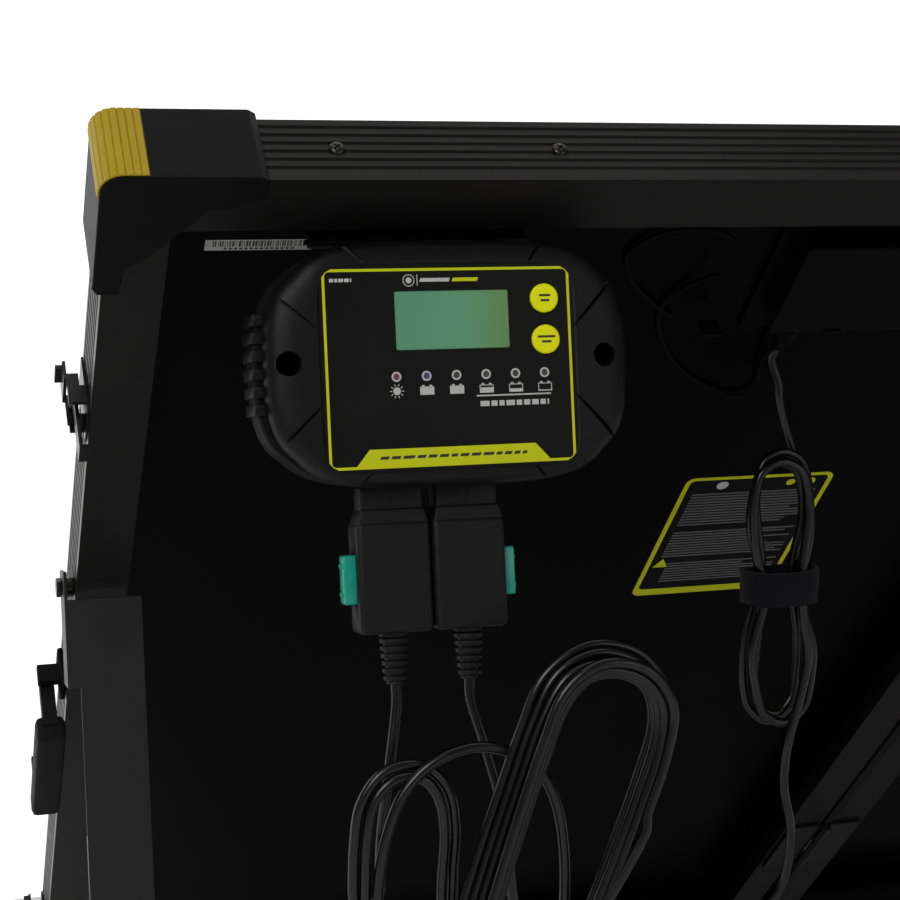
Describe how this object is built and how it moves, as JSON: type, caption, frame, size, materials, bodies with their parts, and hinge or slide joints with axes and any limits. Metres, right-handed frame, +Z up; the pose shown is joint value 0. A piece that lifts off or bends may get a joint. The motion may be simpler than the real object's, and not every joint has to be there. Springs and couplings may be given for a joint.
{
  "type": "folding solar panel suitcase",
  "caption": "Folding framed solar panel case standing open on swing-out legs, with a tilting charge controller, plugged leads, corner guards, draw latches and a swinging carry handle.",
  "frame": {"origin": "on the ground, under the centre of the open case's bounding box", "axes": "+Z up, +X along the top rail from the latch side to the far half, +Y away from the back of the panels"},
  "size_m": [1.382, 0.8222, 0.7694],
  "materials": {
    "anodised_black": "satin black anodised, ribbed",
    "guard_plastic": "satin",
    "back_sheet": "glossy sheet",
    "case_plastic": "fine grain",
    "display_panel": "green-grey window",
    "button_yellow": "soft",
    "board_green": "satin",
    "latch_green": "gloss",
    "cord_black": "satin",
    "strap_black": "hook and loop",
    "leg_paint": "satin dark grey",
    "latch_steel": "black coated",
    "bolt_steel": "satin",
    "grip_rubber": "matt"
  },
  "bodies": {
    "half_a": {"a_bottom_rail": "anodised_black", "a_guard_bottom_hinge": "guard_plastic", "a_guard_bottom_latch": "guard_plastic", "a_guard_top_hinge": "guard_plastic", "a_guard_top_latch": "guard_plastic", "a_hinge_rail": "anodised_black", "a_laminate": "back_sheet", "a_latch_rail": "anodised_black", "a_top_rail": "anodised_black", "battery_connector": "case_plastic", "battery_lead": "cord_black", "battery_lead_end": "cord_black", "battery_lead_hank": "cord_black", "cable_strap": "strap_black", "controller_bracket": "anodised_black", "fold_hinge_a_lower": "latch_steel", "fold_hinge_a_upper": "latch_steel", "handle_bracket_lower": "case_plastic", "handle_bracket_upper": "case_plastic", "junction_box": "case_plastic", "junction_box_lid": "case_plastic", "junction_lead_drop": "cord_black", "junction_lead_hank": "cord_black", "junction_lead_tail": "cord_black", "latch_base_lower": "latch_steel", "latch_base_upper": "latch_steel", "leg_bolt_a": "bolt_steel"},
    "half_b": {"b_bottom_rail": "anodised_black", "b_guard_bottom_hinge": "guard_plastic", "b_guard_bottom_keeper": "guard_plastic", "b_guard_top_hinge": "guard_plastic", "b_guard_top_keeper": "guard_plastic", "b_hinge_rail": "anodised_black", "b_junction_box": "case_plastic", "b_keeper_rail": "anodised_black", "b_laminate": "back_sheet", "b_top_rail": "anodised_black", "fold_hinge_b_lower": "latch_steel", "fold_hinge_b_upper": "latch_steel", "latch_keeper_lower": "latch_steel", "latch_keeper_upper": "latch_steel", "leg_bolt_b": "bolt_steel"},
    "leg_a": {"leg_a": "leg_paint"},
    "leg_b": {"leg_b": "leg_paint"},
    "controller": {"controller_rear_case": "case_plastic", "controller_front_cover": "case_plastic", "display_window": "display_panel", "circuit_board": "board_green", "controller_hinge_leaf": "anodised_black", "battery_plug": "case_plastic", "panel_plug": "case_plastic"},
    "display_button": {"display_button": "button_yellow"},
    "battery_button": {"battery_button": "button_yellow"},
    "battery_plug_latch": {"battery_plug_latch": "latch_green"},
    "panel_plug_latch": {"panel_plug_latch": "latch_green"},
    "latch_lever_upper": {"latch_lever_upper": "latch_steel"},
    "latch_lever_lower": {"latch_lever_lower": "latch_steel"},
    "latch_bail_upper": {"latch_bail_upper": "latch_steel"},
    "latch_bail_lower": {"latch_bail_lower": "latch_steel"},
    "handle": {"handle_grip": "grip_rubber"}
  },
  "joints": [
    {"name": "case_fold", "type": "hinge", "parent": "half_a", "child": "half_b", "pos_m": [0.0055, -0.01467, 0.36773], "axis": [0, 0.7071, -0.7071], "range_deg": [0, 100]},
    {"name": "leg_a_swing", "type": "hinge", "parent": "half_a", "child": "leg_a", "pos_m": [-0.6755, -0.12286, 0.49572], "axis": [1, 0, 0], "range_deg": [0, 49]},
    {"name": "leg_b_swing", "type": "hinge", "parent": "half_b", "child": "leg_b", "pos_m": [0.6865, -0.12286, 0.49572], "axis": [1, 0, 0], "range_deg": [0, 49]},
    {"name": "controller_tilt", "type": "hinge", "parent": "half_a", "child": "controller", "pos_m": [-0.5086, -0.3287, 0.70453], "axis": [1, 0, 0], "range_deg": [-12, 50]},
    {"name": "display_button_press", "type": "slide", "parent": "controller", "child": "display_button", "axis": [0, 0.9914, -0.1305], "range_m": [0, 0.001], "stiffness_N_per_m": 400, "springref_m": -0.0005},
    {"name": "battery_button_press", "type": "slide", "parent": "controller", "child": "battery_button", "axis": [0, 0.9914, -0.1305], "range_m": [0, 0.001], "stiffness_N_per_m": 400, "springref_m": -0.0005},
    {"name": "battery_plug_latch_press", "type": "slide", "parent": "controller", "child": "battery_plug_latch", "axis": [1, 0, 0], "range_m": [0, 0.0025], "stiffness_N_per_m": 500, "springref_m": -0.0005},
    {"name": "panel_plug_latch_press", "type": "slide", "parent": "controller", "child": "panel_plug_latch", "axis": [-1, 0, 0], "range_m": [0, 0.0025], "stiffness_N_per_m": 500, "springref_m": -0.0005},
    {"name": "handle_swing", "type": "hinge", "parent": "half_a", "child": "handle", "pos_m": [-0.6815, -0.00194, 0.38046], "axis": [0, 0.7071, -0.7071], "range_deg": [0, 110]},
    {"name": "latch_upper_open", "type": "hinge", "parent": "half_a", "child": "latch_lever_upper", "pos_m": [-0.6755, -0.2367, 0.61522], "axis": [0, -0.7071, 0.7071], "range_deg": [0, 100]},
    {"name": "latch_upper_bail", "type": "hinge", "parent": "latch_lever_upper", "child": "latch_bail_upper", "pos_m": [-0.6755, -0.23104, 0.62088], "axis": [0, -0.7071, 0.7071], "range_deg": [-100, 0]},
    {"name": "latch_lower_open", "type": "hinge", "parent": "half_a", "child": "latch_lever_lower", "pos_m": [-0.6755, 0.23282, 0.1457], "axis": [0, -0.7071, 0.7071], "range_deg": [0, 100]},
    {"name": "latch_lower_bail", "type": "hinge", "parent": "latch_lever_lower", "child": "latch_bail_lower", "pos_m": [-0.6755, 0.23848, 0.15136], "axis": [0, -0.7071, 0.7071], "range_deg": [-100, 0]}
  ],
  "couplings": [
    {"joint": "latch_upper_bail", "follows": "latch_upper_open", "ratio": -1},
    {"joint": "latch_lower_bail", "follows": "latch_lower_open", "ratio": -1}
  ]
}
